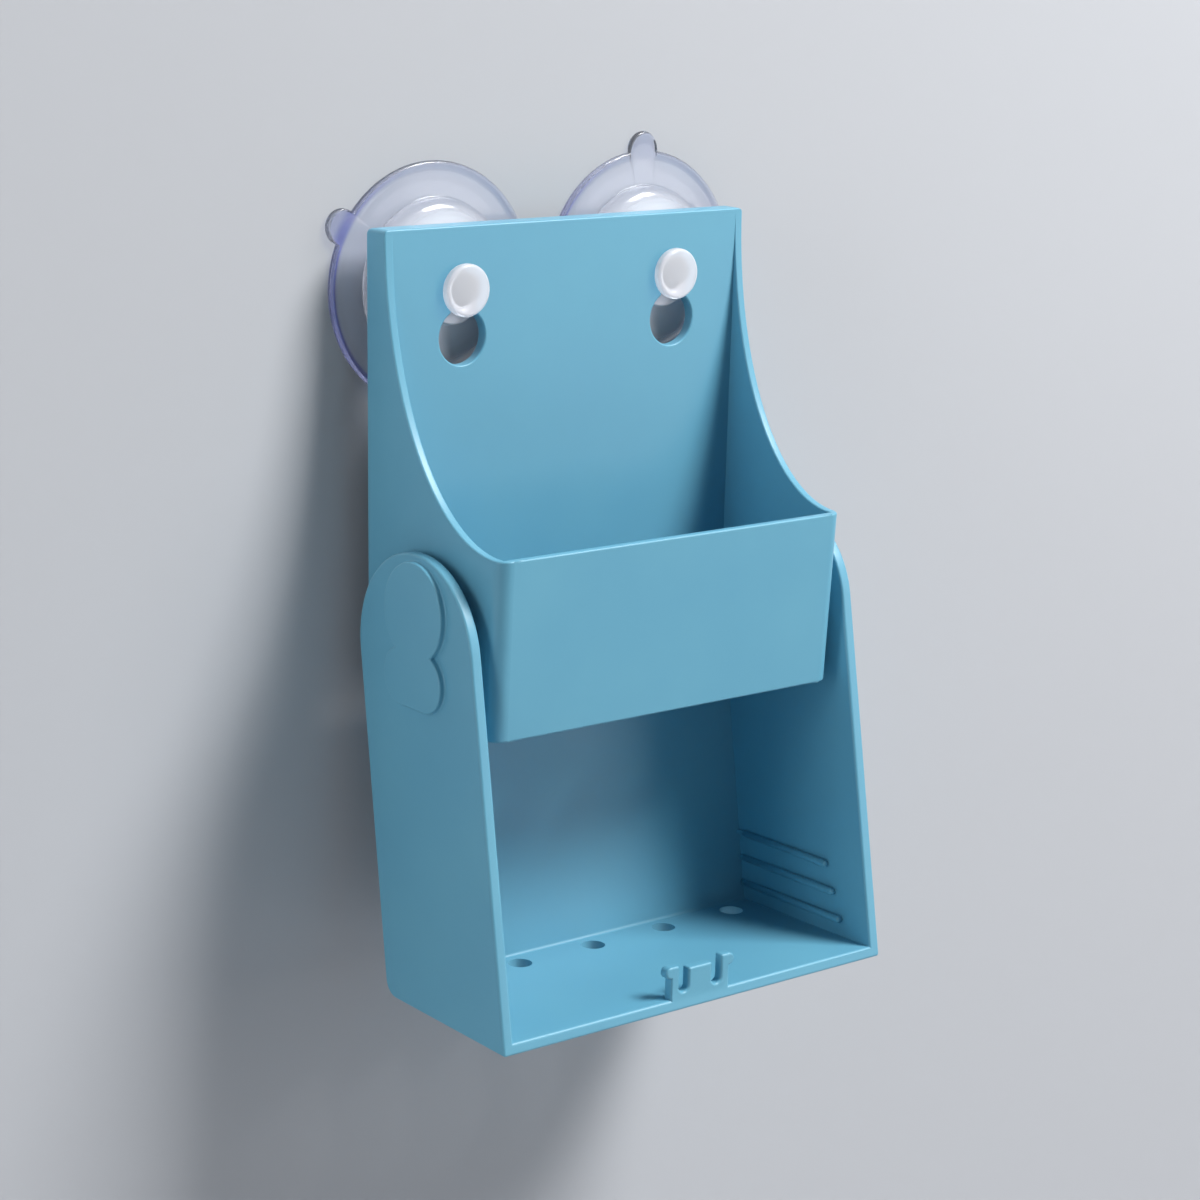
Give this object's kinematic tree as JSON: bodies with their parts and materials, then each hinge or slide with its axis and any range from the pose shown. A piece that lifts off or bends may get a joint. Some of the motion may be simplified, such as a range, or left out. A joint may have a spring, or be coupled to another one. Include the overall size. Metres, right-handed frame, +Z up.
{
  "type": "travel soap box",
  "caption": "Wall-hung travel soap box: open tray on suction cups, with a cover that hangs open below and swings up over the tray.",
  "frame": {"origin": "on the wall's face, midway between the two suction cups, at the height of their centres", "axes": "+X to the right, +Y into the wall, +Z up; the tray opens upwards and its front wall faces -Y"},
  "size_m": [0.098, 0.0555, 0.1606],
  "materials": {
    "blue_plastic": "satin",
    "clear_vinyl": "gloss"
  },
  "bodies": {
    "holder": {"holder": "blue_plastic"},
    "cover": {"cover": "blue_plastic"},
    "left_cup": {"left_suction_cup": "clear_vinyl"},
    "right_cup": {"right_suction_cup": "clear_vinyl"}
  },
  "joints": [
    {"name": "cover_hinge", "type": "hinge", "parent": "holder", "child": "cover", "pos_m": [0, -0.0258, -0.0564], "axis": [-1, 0, 0], "range_deg": [0, 175]},
    {"name": "left_cup_turn", "type": "hinge", "parent": "holder", "child": "left_cup", "pos_m": [-0.0255, 0, 0], "axis": [0, 1, 0], "continuous": true},
    {"name": "right_cup_turn", "type": "hinge", "parent": "holder", "child": "right_cup", "pos_m": [0.0255, 0, 0], "axis": [0, 1, 0], "continuous": true}
  ]
}
